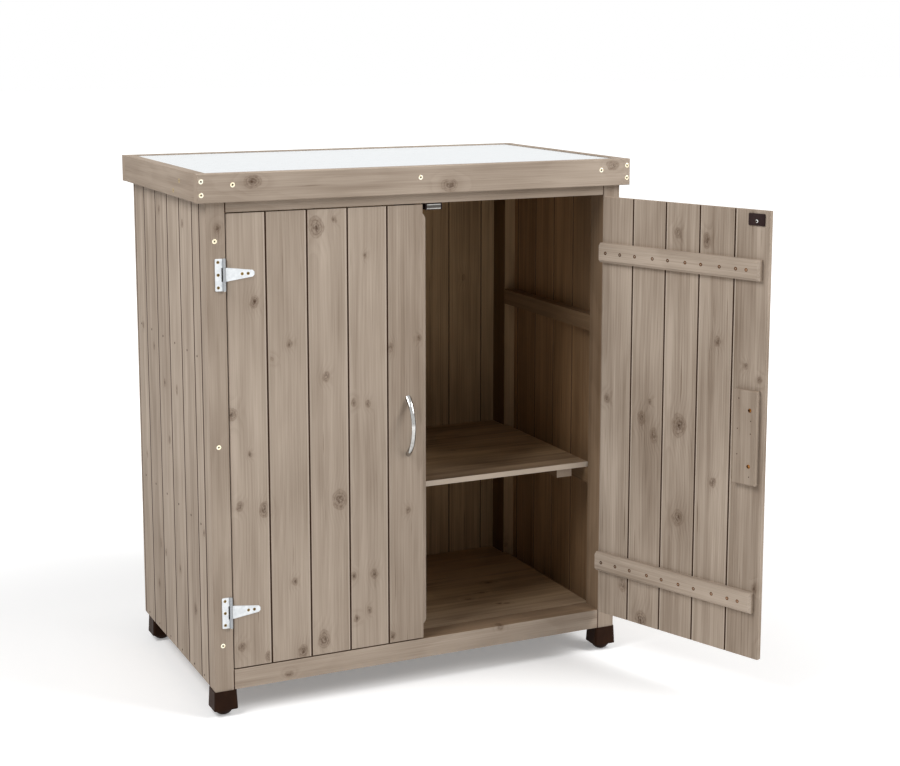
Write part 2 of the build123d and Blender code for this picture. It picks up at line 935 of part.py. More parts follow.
save(apron_front, "apron_front")
save(apron_back, "apron_back")
save(apron_left, "apron_left")
save(apron_right, "apron_right")
save(sheet_metal_top, "sheet_metal_top")
save(top_deck, "top_deck")
save(top_bearers, "top_bearers")
save(front_post_left, "front_post_left")
save(front_post_right, "front_post_right")
save(rear_post_left, "rear_post_left")
save(rear_post_right, "rear_post_right")
save(upper_front_rail, "upper_front_rail")
save(lower_front_rail, "lower_front_rail")
save(shelf_rails_left, "shelf_rails_left")
save(shelf_rails_right, "shelf_rails_right")
save(top_rail_left, "top_rail_left")
save(top_rail_right, "top_rail_right")
save(bottom_rail_left, "bottom_rail_left")
save(bottom_rail_right, "bottom_rail_right")
save(back_top_rail, "back_top_rail")
save(back_bottom_rail, "back_bottom_rail")
save(side_boards_left, "side_boards_left")
save(side_boards_right, "side_boards_right")
save(back_boards, "back_boards")
save(floor_panel, "floor_panel")
save(floor_cleats, "floor_cleats")
save(shelf_panel, "shelf_panel")
save(shelf_cleats, "shelf_cleats")
save(foot_front_left, "foot_front_left")
save(foot_front_right, "foot_front_right")
save(foot_rear_left, "foot_rear_left")
save(foot_rear_right, "foot_rear_right")
save(left_door_boards, "left_door_boards")
save(left_meeting_strip, "left_meeting_strip")
save(left_upper_ledger, "left_upper_ledger")
save(left_lower_ledger, "left_lower_ledger")
save(left_handle_block, "left_handle_block")
save(left_handle, "left_handle")
save(left_strike_plate, "left_strike_plate")
save(left_hinge_straps, "left_hinge_straps")
save(left_hinge_plates, "left_hinge_plates")
save(right_door_boards, "right_door_boards")
save(right_upper_ledger, "right_upper_ledger")
save(right_lower_ledger, "right_lower_ledger")
save(right_handle_block, "right_handle_block")
save(right_handle, "right_handle")
save(right_strike_plate, "right_strike_plate")
save(right_hinge_straps, "right_hinge_straps")
save(right_hinge_plates, "right_hinge_plates")
save(hinge_pins, "hinge_pins")
save(catch_left, "catch_left")
save(catch_right, "catch_right")
save(catch_magnets, "catch_magnets")
save(apron_screws, "apron_screws")
save(post_screws, "post_screws")
save(plate_screws, "plate_screws")
save(left_strap_screws, "left_strap_screws")
save(right_strap_screws, "right_strap_screws")
save(left_handle_screws, "left_handle_screws")
save(right_handle_screws, "right_handle_screws")
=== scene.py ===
"""Potting bench: finishes for its pieces, its screw heads, pins and handles, light and camera."""

import json
import math
from typing import NamedTuple

import bpy
from mathutils import Matrix, Vector


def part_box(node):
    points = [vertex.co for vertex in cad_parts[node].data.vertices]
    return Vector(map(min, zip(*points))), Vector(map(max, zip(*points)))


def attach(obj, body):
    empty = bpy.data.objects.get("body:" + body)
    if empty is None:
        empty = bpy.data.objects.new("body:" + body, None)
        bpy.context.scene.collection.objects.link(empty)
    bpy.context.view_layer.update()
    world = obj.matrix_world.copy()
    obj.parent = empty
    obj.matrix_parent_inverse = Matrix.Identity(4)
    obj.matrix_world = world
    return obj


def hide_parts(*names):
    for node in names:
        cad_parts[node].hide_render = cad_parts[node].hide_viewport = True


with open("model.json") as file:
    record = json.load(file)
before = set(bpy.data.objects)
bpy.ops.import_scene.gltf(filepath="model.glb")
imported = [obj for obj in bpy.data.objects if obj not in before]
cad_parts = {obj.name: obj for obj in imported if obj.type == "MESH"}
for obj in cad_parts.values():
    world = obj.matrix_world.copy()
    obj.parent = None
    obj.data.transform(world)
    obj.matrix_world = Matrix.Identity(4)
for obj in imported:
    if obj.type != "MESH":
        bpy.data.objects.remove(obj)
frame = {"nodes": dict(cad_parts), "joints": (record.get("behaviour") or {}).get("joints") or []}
nodes = frame["nodes"]
joints = {joint["name"]: joint for joint in frame["joints"]}
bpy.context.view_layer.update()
bpy.ops.object.select_all(action="DESELECT")

UP = Vector((0, 0, 1))
FORWARD, BACKWARD = Vector((0, -1, 0)), Vector((0, 1, 0))
LEFTWARD, RIGHTWARD = Vector((-1, 0, 0)), Vector((1, 0, 0))


# places taken from the frame
def span(corners, axis):
    """The lowest and the highest reach of some corners along an axis."""
    reaches = [corner.dot(axis) for corner in corners]
    return min(reaches), max(reaches)


def solids(name):
    """The corners of each separate solid in a CAD node, whose mesh is loose triangles."""
    mesh = nodes[name].data
    places = [tuple(round(c, 6) for c in corner.co) for corner in mesh.vertices]
    joined = {place: place for place in places}

    def root(place):
        while joined[place] != place:
            joined[place] = joined[joined[place]]
            place = joined[place]
        return place

    for face in mesh.polygons:
        first, *others = (places[index] for index in face.vertices)
        for other in others:
            joined[root(other)] = root(first)
    groups = {}
    for place in joined:
        groups.setdefault(root(place), []).append(Vector(place))
    return list(groups.values())


class Door(NamedTuple):
    """Where a door stands at rest: its hinge line, the way its width runs and the way its back faces."""

    side: str
    hinge: Vector
    along: Vector
    inward: Vector

    def spot(self, reach, depth, height):
        return self.hinge + self.along * reach + self.inward * depth + UP * height

    def extent(self, name):
        """The least and most reach, depth and height of a CAD node on the door."""
        corners = [corner.co - self.hinge for corner in nodes[name].data.vertices]
        return [span(corners, axis) for axis in (self.along, self.inward, UP)]

    def turn(self):
        return math.atan2(self.along.y, self.along.x)


def hung_door(side, closed_way):
    """The joint's lower limit is the closed door, so it says how far the door stands open at rest."""
    joint = joints[f"{side}_door_hinge"]
    opened = Matrix.Rotation(-math.radians(joint["range_deg"][0]) * joint["axis"][2], 3, "Z")
    across, deep, _ = joint["pos_m"]
    return Door(side, Vector((across, deep, 0)), opened @ closed_way, opened @ BACKWARD)


LEFT_DOOR = hung_door("left", RIGHTWARD)
RIGHT_DOOR = hung_door("right", LEFTWARD)
DOORS = (LEFT_DOOR, RIGHT_DOOR)
SIDE_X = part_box("side_boards_right")[1][0]
SIDE_FRONT, SIDE_REAR = (corner[1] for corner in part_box("side_boards_left"))
POST_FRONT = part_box("front_post_left")[0][1]
POST_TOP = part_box("front_post_left")[1][2]
BACK_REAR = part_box("back_boards")[1][1]
APRON_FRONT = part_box("apron_front")[0][1]
APRON_X, _, APRON_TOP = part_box("apron_right")[1]
SHELF_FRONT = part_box("shelf_panel")[0][1]
CLEAT_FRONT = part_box("shelf_cleats")[0][1]
FLOOR_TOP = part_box("floor_panel")[1][2]
RAIL_ENDS = [corner[0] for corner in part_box("lower_front_rail")]


# colours
def tint(red, green, blue):
    """A colour given as 0 to 255 on a screen, in the linear values that a shader takes."""
    parts = [c / 255 for c in (red, green, blue)]
    return tuple(c / 12.92 if c <= 0.04045 else ((c + 0.055) / 1.055) ** 2.4 for c in parts) + (1.0,)


BLACK, WHITE = (0.0, 0.0, 0.0, 1.0), (1.0, 1.0, 1.0, 1.0)
WOOD_PALE = tint(191, 175, 159)
WOOD_DEEP = tint(131, 114, 98)
WOOD_END = tint(150, 132, 115)
PAINTED_ARRIS_HIGHLIGHT = tint(196, 181, 165)
SHELF_EDGE_HIGHLIGHT = tint(216, 200, 182)
KNOT_RING = tint(116, 97, 81)
KNOT_HEART = tint(76, 56, 43)
HEAD_BRASS = tint(186, 164, 118)
SEAM_SHADE = tint(52, 25, 6)

# painted shade: these multiply the colour of the wood inside the cupboard, which starts a skin below the
# outer faces; a pair is the shade at the doorway and the one that it has turned into at the shade's depth
SHADE_DEPTH = 0.22
FLOOR_PAINTED_SHADE = ((0.80, 0.71, 0.60, 1.0), (0.98, 0.79, 0.53, 1.0))
WALL_PAINTED_SHADE = ((0.44, 0.35, 0.26, 1.0), (0.80, 0.57, 0.34, 1.0))
RAIL_PAINTED_SHADE = ((0.50, 0.40, 0.29, 1.0), (0.66, 0.50, 0.33, 1.0))
POST_PAINTED_SHADE = ((0.64, 0.54, 0.43, 1.0), (0.50, 0.40, 0.29, 1.0))
# painted shade for the hinge slots and for the rear posts' flanks
SLOT_PAINTED_SHADE = (0.06, 0.05, 0.04, 1.0)
FLANK_PAINTED_SHADE = (0.36, 0.31, 0.25, 1.0)
SKIN = 0.0012
CUPBOARD = {
    "X": (SKIN - SIDE_X, SIDE_X - SKIN),
    "Y": (POST_FRONT + SKIN, BACK_REAR - SKIN),
    "Z": (0.0, POST_TOP - SKIN),
}
BEHIND_SHELF_EDGE = {"Y": (SHELF_FRONT + SKIN, BACK_REAR)}
BEHIND_CLEAT_END = {"Y": (CLEAT_FRONT + SKIN, BACK_REAR)}
EVERYWHERE = {}


class Row(NamedTuple):
    """A row of boards: the place of one seam, the cover of a board, half a seam's width, its lit side."""

    seam: float
    cover: float
    shade: float
    lit: int = 0


class Growth(NamedTuple):
    """How the wood of a board has grown: its luck among the boards, its middle and its figure."""

    luck: object
    middle: object
    streak: object
    fibre: object
    cloud: object
    late: object
    check: object


class Socket:
    """One output in a finish's node tree. Arithmetic on it adds Math nodes."""

    def __init__(self, finish, output):
        self.finish = finish
        self.output = output

    def math(self, operation, *values):
        return self.finish.node("ShaderNodeMath", {"operation": operation}, dict(enumerate(values)))

    def __add__(self, other):
        return self.math("ADD", self, other)

    def __sub__(self, other):
        return self.math("SUBTRACT", self, other)

    def __rsub__(self, other):
        return self.math("SUBTRACT", other, self)

    def __mul__(self, other):
        return self.math("MULTIPLY", self, other)

    def __truediv__(self, other):
        return self.math("DIVIDE", self, other)

    __radd__ = __add__
    __rmul__ = __mul__

    def largest(self, other):
        return self.math("MAXIMUM", self, other)

    def whole(self):
        return self.math("FLOOR", self)

    def size(self):
        return self.math("ABSOLUTE", self)

    def root(self):
        return self.math("SQRT", self)

    def rise(self, low, high):
        """0 up to low, 1 from high on, smooth between them."""
        sockets = {"Value": self, "From Min": low, "From Max": high}
        return self.finish.node("ShaderNodeMapRange", {"interpolation_type": "SMOOTHSTEP"}, sockets)

    def beside(self, name):
        """Another output of the same node."""
        return Socket(self.finish, self.output.node.outputs[name])


class Finish:
    """The node tree of a material or of the world, being put together."""

    def __init__(self, owner, shader="Principled BSDF"):
        owner.use_nodes = True
        self.owner = owner
        self.tree = owner.node_tree
        self.shader = self.tree.nodes[shader]

    def node(self, kind, settings, sockets, output=0):
        """Adds a node: its settings first, then a value or a link for each socket named."""
        made = self.tree.nodes.new(kind)
        for name, value in settings.items():
            if name == "stops":
                for element, (place, colour) in zip(made.color_ramp.elements, value):
                    element.position, element.color = place, colour
            else:
                setattr(made, name, value)
        self.feed(made, sockets)
        return Socket(self, made.outputs[output])

    def feed(self, made, sockets):
        for name, value in sockets.items():
            if isinstance(value, Socket):
                self.tree.links.new(value.output, made.inputs[name])
            else:
                made.inputs[name].default_value = value

    def surface(self, **sockets):
        self.feed(self.shader, {name.replace("_", " "): value for name, value in sockets.items()})
        return self.owner

    def place(self):
        return self.node("ShaderNodeTexCoord", {}, {}, "Object")

    def axes(self, vector):
        """The X of a vector, with its Y and Z beside it."""
        return self.node("ShaderNodeSeparateXYZ", {}, {0: vector})

    def vector(self, x, y, z):
        return self.node("ShaderNodeCombineXYZ", {}, {0: x, 1: y, 2: z})

    def vectors(self, operation, *values, output=0):
        return self.node("ShaderNodeVectorMath", {"operation": operation}, dict(enumerate(values)), output)

    def noise(self, vector, scale, detail=2.0):
        """Noise about zero, of the given number of features per metre along each axis."""
        sockets = {"Vector": self.vectors("MULTIPLY", vector, scale), "Scale": 1.0, "Detail": detail}
        return self.node("ShaderNodeTexNoise", {}, sockets) - 0.5

    def blend(self, factor, first, second, kind="MIX"):
        """Mixes two colours, by the Mix node's colour sockets: inputs 6 and 7, output 2."""
        settings = {"data_type": "RGBA", "blend_type": kind}
        return self.node("ShaderNodeMix", settings, {0: factor, 6: first, 7: second}, 2)

    def ridges(self, height, depth, strength):
        sockets = {"Height": height, "Distance": depth, "Strength": strength}
        return self.node("ShaderNodeBump", {}, sockets, "Normal")

    def seen(self):
        """1 for what the camera sees, straight or in metal, 0 for the light on other surfaces."""
        rays = self.node("ShaderNodeLightPath", {}, {}, "Is Camera Ray")
        return rays.largest(rays.beside("Is Glossy Ray")).largest(rays.beside("Is Transmission Ray"))


def material(name):
    return Finish(bpy.data.materials.new(name))


def within(axes, box):
    """1 inside a box given by a low and a high place on some of the axes, 0 outside it."""
    soft = 0.0004
    mask = 1.0
    for axis, (low, high) in box.items():
        line = axes.beside(axis)
        mask = line.rise(low - soft, low + soft) * (1 - line.rise(high - soft, high + soft)) * mask
    return mask


# wood
KNOT_WANDER = 0.011
SEAM_SOFT = 0.0008


def shaken(finish, spot):
    """A spot on a board, shaken a little so that a round knot gets a ragged rim."""
    wander = finish.node("ShaderNodeTexNoise", {}, {"Vector": spot, "Scale": 55.0, "Detail": 3.0}, "Color")
    return finish.vectors("MULTIPLY_ADD", wander, (KNOT_WANDER, 0.0, KNOT_WANDER), spot)


def strewn_knots(finish, spot, share):
    """1 at a knot's heart, 0 at its rim, falling on outside: knots by chance in a share of the cells."""
    cells = finish.vectors("MULTIPLY", shaken(finish, spot), (11.0, 3.0, 8.0))
    reach = finish.node("ShaderNodeTexVoronoi", {}, {"Vector": cells, "Scale": 1.0})
    chance = finish.node("ShaderNodeSeparateColor", {}, {0: reach.beside("Color")})
    radius = 0.03 + chance.beside("Green") * 0.07

    # a cell without a knot is put far outside any rim
    absent = chance.rise(share, share + 0.01)
    return 1 - reach / radius - absent * 40


def knot_field(finish, spot, knots):
    """The same field for knots at given places: across the board, deep, along the grain, and a radius."""
    squeeze = Vector((1.0, 0.3, 0.72))
    squeezed = finish.vectors("MULTIPLY", shaken(finish, spot), squeeze)
    far_from_any = -9.0
    field = far_from_any
    for across, deep, along, radius in knots:
        heart = Vector((across + KNOT_WANDER / 2, deep, along + KNOT_WANDER / 2)) * squeeze
        reach = finish.vectors("DISTANCE", squeezed, heart, output="Value")
        field = reach.math("MULTIPLY_ADD", reach, -1 / radius, 1.0).largest(field)
    return field


def growth(finish, side, deep, run, row, influence):
    """The figure of the wood along a board: streaks, fibres, clouds, late wood and checks."""
    luck = 0.5
    if row:
        count = (side - row.seam) / row.cover
        board = count.whole()
        middle = (count - board - 0.5) * row.cover
        luck = finish.node("ShaderNodeTexWhiteNoise", {"noise_dimensions": "1D"}, {"W": board + 0.37})
    else:
        middle = finish.noise(finish.vector(side, deep, run), (3.0, 3.0, 1.0), 0.0) * 0.09
    own = finish.vector(side + luck * 3.0, deep, run + luck * 7.0)
    drift = finish.noise(own, (7.0, 7.0, 1.7), 1.0)
    streak = finish.noise(own, (90.0, 90.0, 2.0), 3.0)
    fibre = finish.noise(own, (620.0, 620.0, 9.0), 2.0)
    cloud = finish.noise(own, (17.0, 17.0, 4.5), 2.0)
    check = finish.noise(own, (330.0, 330.0, 8.0), 1.0).rise(0.2, 0.31)

    # year rings are cones about a pith that drifts below the board, so they show as arches
    lean = middle + (luck - 0.5) * 0.05 + drift * 0.03
    climb = 0.014 + drift * 0.045
    years = (lean * lean + climb * climb + 0.00002).root() * 200.0 + influence * 1.6 + streak * 0.5
    year = years - years.whole()
    late = year.rise(0.25, 0.85) * (1 - year.rise(0.88, 1.0))
    return Growth(luck, middle, streak, fibre, cloud, late, check)


def wood_colour(finish, grown, knot, influence, mottle, pale, figure):
    """The stained wood's colour with its knots, before seams and places."""
    marks = grown.streak * 0.8 + grown.fibre * 0.55 + grown.cloud * 0.8
    marks = marks - grown.late * 0.09 - grown.check * 0.5
    tone = pale + marks * figure + (grown.luck - 0.5) * 0.16 - influence * 0.12
    stops = [(0.0, WOOD_DEEP), (1.0, WOOD_PALE)]
    colour = finish.node("ShaderNodeValToRGB", {"stops": stops}, {"Fac": tone})
    turns = knot * 3.0
    rings = (turns - turns.whole()).rise(0.45, 0.95)
    colour = finish.blend(knot.rise(-0.25, 0.12) * (0.36 + rings * 0.34 + mottle * 1.2), colour, KNOT_RING)
    return finish.blend(knot.rise(0.3, 0.85) * (0.42 + mottle * 2.6), colour, KNOT_HEART)


def seamed(finish, colour, row, middle, edge, outside):
    """Paints the seams of a row of boards, fainter inside the cupboard, and a painted highlight on the arris
    beside each, stronger on the row's lit side.
    """
    lit = (middle * row.lit).rise(-0.01, 0.01) * 0.55 + 0.2
    # painted highlight on the arris beside each seam
    arris = (1 - edge.rise(row.shade + 0.0016, row.shade + 0.0036)) * lit
    colour = finish.blend(arris, colour, PAINTED_ARRIS_HIGHLIGHT)
    shade = (1 - edge.rise(row.shade, row.shade + SEAM_SOFT)) * (0.6 + outside * 0.35)
    return finish.blend(shade, colour, SEAM_SHADE)


def end_grain(finish, way):
    """1 on the sawn ends of boards whose grain runs the given way."""
    normal = finish.node("ShaderNodeNewGeometry", {}, {}, "True Normal")
    settings = {"vector_type": "NORMAL", "convert_from": "WORLD", "convert_to": "OBJECT"}
    normal = finish.node("ShaderNodeVectorTransform", settings, {0: normal})
    return finish.vectors("DOT_PRODUCT", normal, way, output="Value").size().rise(0.72, 0.92)


def painted_heads(finish, place, colour, heads):
    """Paints screw heads that lie level with the wood: brass about a dark recess."""
    rim_radius, recess_radius, soft = 0.0036, 0.0012, 0.0006
    for head in heads:
        reach = finish.vectors("DISTANCE", place, head, output="Value")
        colour = finish.blend(1 - reach.rise(rim_radius, rim_radius + soft), colour, HEAD_BRASS)
        colour = finish.blend(1 - reach.rise(recess_radius, recess_radius + soft), colour, SEAM_SHADE)
    return colour


def painted_shade_and_seams(finish, axes, colour, mask, shade_pair, shaded, seams):
    """Paints shade on the wood inside the cupboard and in some boxes, and draws single seams outside."""
    if shade_pair:
        depth = axes.beside("Y").rise(POST_FRONT, POST_FRONT + SHADE_DEPTH)
        colour = finish.blend(mask, colour, finish.blend(depth, *shade_pair), "MULTIPLY")
    for box, box_shade in shaded:
        colour = finish.blend(within(axes, box), colour, box_shade, "MULTIPLY")
    for axis, middle, half, shade in seams:
        gap = (axes.beside(axis) - middle).size()
        colour = finish.blend((1 - gap.rise(half, half + SEAM_SOFT)) * (1 - mask) * 0.95, colour, shade)
    return colour


def stained_wood(
    name, grain, across, *, row=None, door=None, knots=(), share=0.4,
    inside=None, shaded=(), seams=(), heads=(), pale=0.58, figure=1.0,
):
    """Taupe-stained softwood, whose grain runs along one axis of the bench or of a door.

    Share is how many cells hold a knot by chance, beside the knots at given places. Inside is a box and a
    pair of painted shades for it, shaded are boxes with one painted shade each, and seams are single lines,
    each an axis, a place on it, half a width and a tint. Heads are places of screws level with the wood. Pale
    is how light the wood is, figure how strong its grain.
    """
    finish = material(name)
    place = finish.place()
    bench_axes = axes = finish.axes(place)
    way = Vector([float(axis == grain) for axis in "XYZ"])
    if door:
        sockets = {"Vector": place, "Location": door.hinge, "Rotation": UP * door.turn()}
        axes = finish.axes(finish.node("ShaderNodeMapping", {"vector_type": "TEXTURE"}, sockets))
        way = Matrix.Rotation(door.turn(), 3, "Z") @ way
    side, run = axes.beside(across), axes.beside(grain)
    deep = axes.beside(({"X", "Y", "Z"} - {across, grain}).pop())
    spot = finish.vector(side, deep, run)
    box, shade_pair = inside or (EVERYWHERE, None)
    mask = within(bench_axes, box) if inside else 0.0

    knot = strewn_knots(finish, spot, share)
    if knots:
        knot = knot.largest(knot_field(finish, spot, knots))
    influence = knot.rise(-2.4, 0.8)
    mottle = finish.noise(spot, (260.0, 260.0, 170.0), 3.0)
    grown = growth(finish, side, deep, run, row, influence)
    colour = wood_colour(finish, grown, knot, influence, mottle, pale, figure)
    height = grown.fibre * 0.7 + grown.streak * 0.5 - grown.late * 0.25 - grown.check * 0.5
    height = height - knot.rise(0.2, 0.6) * 0.4
    if row:
        edge = row.cover / 2 - grown.middle.size()
        colour = seamed(finish, colour, row, grown.middle, edge, 1 - mask)
        height = height + edge.rise(0.0, row.shade + 0.001) * 0.5
    colour = finish.blend(end_grain(finish, way) * (0.55 + mottle * 0.6), colour, WOOD_END)
    # painted shade inside the cupboard and in the shaded boxes, then the single seams
    colour = painted_shade_and_seams(finish, bench_axes, colour, mask, shade_pair, shaded, seams)
    colour = painted_heads(finish, place, colour, heads)
    return finish.surface(
        Base_Color=colour,
        Roughness=0.66 + grown.streak * 0.3 - grown.late * 0.06,
        Specular_IOR_Level=0.1,
        Normal=finish.ridges(height, depth=0.0004, strength=0.6),
    )


# metal and plastic
def galvanised_sheet():
    finish = material("galvanised_sheet")
    place = finish.place()
    spangle = finish.node("ShaderNodeTexVoronoi", {}, {"Vector": place, "Scale": 95.0})
    flake = finish.node("ShaderNodeSeparateColor", {}, {0: spangle.beside("Color")}) - 0.5
    smear = finish.noise(place, (9.0, 5.0, 9.0), 3.0)
    scratch = finish.noise(place, (14.0, 900.0, 14.0), 1.0)
    colour = finish.blend(0.5 + flake * 0.5 + smear * 0.4, tint(206, 214, 218), tint(228, 234, 237))
    return finish.surface(
        Base_Color=colour,
        Metallic=1.0,
        Roughness=0.13 + smear * 0.1 + flake * 0.03 + scratch * 0.03,
        Normal=finish.ridges(smear * 0.8 + scratch * 0.05, depth=0.0006, strength=0.25),
    )


def plated_metal(name, bright, dull, roughness, *, metallic=1.0, shaded=None, shade=None):
    """A plated part: cloudy tarnish and fine rubbing over the plating, and a second colour where shaded says
    so, for the magnet's own dark core and for the painted reflection on the hinges' knuckles.
    """
    finish = material(name)
    place = finish.place()
    cloud = finish.noise(place, (150.0, 150.0, 150.0), 3.0)
    rub = finish.noise(place, (2600.0, 700.0, 500.0), 1.0)
    colour = finish.blend((0.5 + cloud * 1.6).rise(0.1, 0.9), bright, dull)
    if shaded:
        colour = finish.blend(shaded(finish.axes(place)), colour, shade)
    return finish.surface(
        Base_Color=colour,
        Metallic=metallic,
        Roughness=roughness + cloud * (roughness * 0.7) + rub * (roughness * 0.4),
        Normal=finish.ridges(cloud + rub * 0.5, depth=0.00008, strength=0.3),
    )


def on_knuckle(axes):
    """1 on the rounds about the hinge lines, 0 on the flat leaves; the rounds take a grey painted reflection.
    """
    radius, soft = 0.0031, 0.0003
    across = axes.size() - RIGHT_DOOR.hinge.x
    lift = axes.beside("Y") - RIGHT_DOOR.hinge.y
    return 1 - (across * across + lift * lift).root().rise(radius - soft, radius + soft)


def in_magnet(axes):
    """1 on the dark magnet of a catch, 0 on the steel plates above and below it."""
    plate = 0.0017
    low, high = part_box("catch_magnets")
    return within(axes, {"Z": (low[2] + plate, high[2] - plate)})


def recess_shade_and_dust():
    """The bottom of a screw's cross recess: painted shade, with dusty grit in it."""
    finish = material("screw_recess")
    grit = finish.noise(finish.place(), (1500.0, 1500.0, 1500.0), 2.0)
    colour = finish.blend(0.5 + grit * 1.2, tint(40, 22, 10), tint(66, 42, 22))
    return finish.surface(Base_Color=colour, Roughness=0.7 + grit * 0.3, Specular_IOR_Level=0.2)


def moulded_plastic(name, deep, worn):
    finish = material(name)
    place = finish.place()
    pebble = finish.noise(place, (2200.0, 2200.0, 2200.0), 2.0)
    scuff = finish.noise(place, (60.0, 60.0, 25.0), 3.0)
    return finish.surface(
        Base_Color=finish.blend((scuff + 0.5).rise(0.35, 0.8), deep, worn),
        Roughness=0.5 + scuff * 0.25,
        Specular_IOR_Level=0.08,
        Normal=finish.ridges(pebble, depth=0.00015, strength=0.35),
    )


# knots that show: millimetres across the board, along it, and the radius
def knots_on(deep, *spots):
    return [(across / 1000, deep, along / 1000, radius / 1000) for across, along, radius in spots]


LEFT_DOOR_KNOTS = knots_on(
    POST_FRONT,
    (-346, 518, 8.5), (-336, 362, 6), (-337, 117, 6), (-305, 703, 7.5), (-317, 448, 3.5), (-294, 351, 8.5),
    (-290, 94, 6.5), (-246, 629, 5), (-243, 219, 5), (-229, 94, 8), (-196, 820, 12.5), (-163, 832, 4.5),
    (-181, 568, 6), (-158, 352, 12.5), (-190, 108, 10.5), (-109, 769, 3.5), (-131, 519, 5), (-106, 514, 4.5),
    (-135, 212, 5), (-96, 212, 7), (-106, 147, 4), (-130, 137, 5), (-64, 607, 6), (-10, 620, 4),
    (-32, 318, 5), (-63, 95, 6.5),
)
RIGHT_DOOR_KNOTS = knots_on(
    -RIGHT_DOOR.extent("right_door_boards")[1][1],
    (18, 487, 6), (61, 145, 8.5), (98, 462, 9), (117, 496, 4), (126, 435, 9.5), (105, 91, 11.5),
    (171, 799, 6.5), (180, 462, 14.5), (182, 296, 11), (231, 791, 8.5), (257, 621, 6), (256, 374, 6),
    (315, 587, 4.5), (345, 568, 4.5), (297, 392, 5), (347, 208, 5),
)
SIDE_KNOTS = knots_on(
    -SIDE_X,
    (-183, 310, 4.5), (-96, 822, 5), (-122, 157, 7.5), (-38, 526, 6), (-34, 202, 5), (48, 832, 6),
    (38, 524, 5), (16, 427, 5.5), (60, 208, 4.5), (104, 581, 6), (111, 133, 6), (175, 607, 4.5),
    (171, 364, 4.5),
)
APRON_KNOTS = knots_on(APRON_FRONT, (901, -307, 10.5), (882, 44, 10.5), (905, 365, 8))
FRONT_RAIL_KNOTS = knots_on(POST_FRONT, (57, -253, 5), (78, 150, 4.5))
POST_KNOTS = knots_on(POST_FRONT, (-365, 826, 6.5))
FLOOR_KNOTS = knots_on(
    FLOOR_TOP,
    (-2, 237, 6), (-48, 198, 5.5), (-71, 160, 5.5), (-119, 202, 4.5), (-125, 215, 4), (-201, 202, 6),
    (-212, 151, 6), (-198, 306, 6.5),
)

# rows of boards; the right door's row is measured from its hinge line
BOARD_COVER, SIDE_COVER = 0.0718, 0.0745
LEFT_FIRST_BOARD, RIGHT_FIRST_BOARD, SIDE_FIRST_BOARD = 0.07155, 0.0728, 0.0418
LEFT_DOOR_ROW = Row(seam=LEFT_DOOR.hinge.x + LEFT_FIRST_BOARD, cover=BOARD_COVER, shade=0.0012, lit=1)
RIGHT_DOOR_ROW = Row(seam=RIGHT_FIRST_BOARD, cover=BOARD_COVER, shade=0.0012, lit=-1)
SIDE_ROW = Row(seam=SIDE_FRONT + SIDE_FIRST_BOARD, cover=SIDE_COVER, shade=0.0022)
BACK_ROW = Row(seam=BOARD_COVER / 2, cover=BOARD_COVER, shade=0.0012)
FRONT_SEAM = ("Y", SIDE_FRONT, 0.0024, SEAM_SHADE)
REAR_SEAM = ("Y", SIDE_REAR, 0.0018, SEAM_SHADE)
END_SEAMS = [("X", end, 0.0009, SEAM_SHADE) for end in RAIL_ENDS]
# painted highlight: the shelf's front edge is drawn lighter, as lit
FRONT_EDGE = ("Y", SHELF_FRONT, 0.0005, SHELF_EDGE_HIGHLIGHT)

# the slots in the hinges' post plates show the wood of the posts in shade, painted dark on the posts, level
# on both sides
HINGE_MIDDLES = [sum(span(plate, UP)) / 2 for plate in solids("left_hinge_plates")]
SLOT_X, SLOT_HALF = RIGHT_DOOR.hinge.x + 0.0046, 0.0115
SLOT_DEPTH = (APRON_FRONT, POST_FRONT + SKIN / 2)
HINGE_SLOTS = [
    ({"X": (-SLOT_X, SLOT_X), "Y": SLOT_DEPTH, "Z": (middle - SLOT_HALF, middle + SLOT_HALF)}, SLOT_PAINTED_SHADE)
    for middle in HINGE_MIDDLES
]

# the rear posts' flanks face each other, away from the light of the doorway, and get painted shade
FLANK_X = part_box("rear_post_right")[0][0]
REAR_POST_FLANKS = ({"X": (-FLANK_X - SKIN, FLANK_X + SKIN)}, FLANK_PAINTED_SHADE)

# two screws in each side of the top frame, by how far they lie behind its front and below its top
SIDE_SCREWS = ((0.1015, 0.018), (0.1375, 0.037))
APRON_HEADS = [
    (outer, APRON_FRONT + behind, APRON_TOP - below)
    for outer in (-APRON_X, APRON_X)
    for behind, below in SIDE_SCREWS
]

# woods, one for each way that the boards and their grain run
left_door_wood = stained_wood(
    "left_door_wood", "Z", "X", row=LEFT_DOOR_ROW, knots=LEFT_DOOR_KNOTS, share=0.06
)
right_door_wood = stained_wood(
    "right_door_wood", "Z", "X", row=RIGHT_DOOR_ROW, door=RIGHT_DOOR, knots=RIGHT_DOOR_KNOTS, share=0.06,
    pale=0.56, figure=1.4,
)
side_wood = stained_wood(
    "side_wood", "Z", "Y", row=SIDE_ROW, knots=SIDE_KNOTS, share=0.12, inside=(CUPBOARD, WALL_PAINTED_SHADE),
    seams=(FRONT_SEAM, REAR_SEAM), pale=0.58, figure=1.35,
)
# the back's wood is set paler: painted light for the back wall inside the cupboard
back_wood = stained_wood(
    "back_wood", "Z", "X", row=BACK_ROW, inside=(CUPBOARD, FLOOR_PAINTED_SHADE), seams=(REAR_SEAM,), pale=0.7,
    figure=1.6,
)
post_wood = stained_wood(
    "post_wood", "Z", "X", knots=POST_KNOTS, share=0.1, inside=(CUPBOARD, POST_PAINTED_SHADE), shaded=HINGE_SLOTS,
    seams=(FRONT_SEAM,), pale=0.52,
)
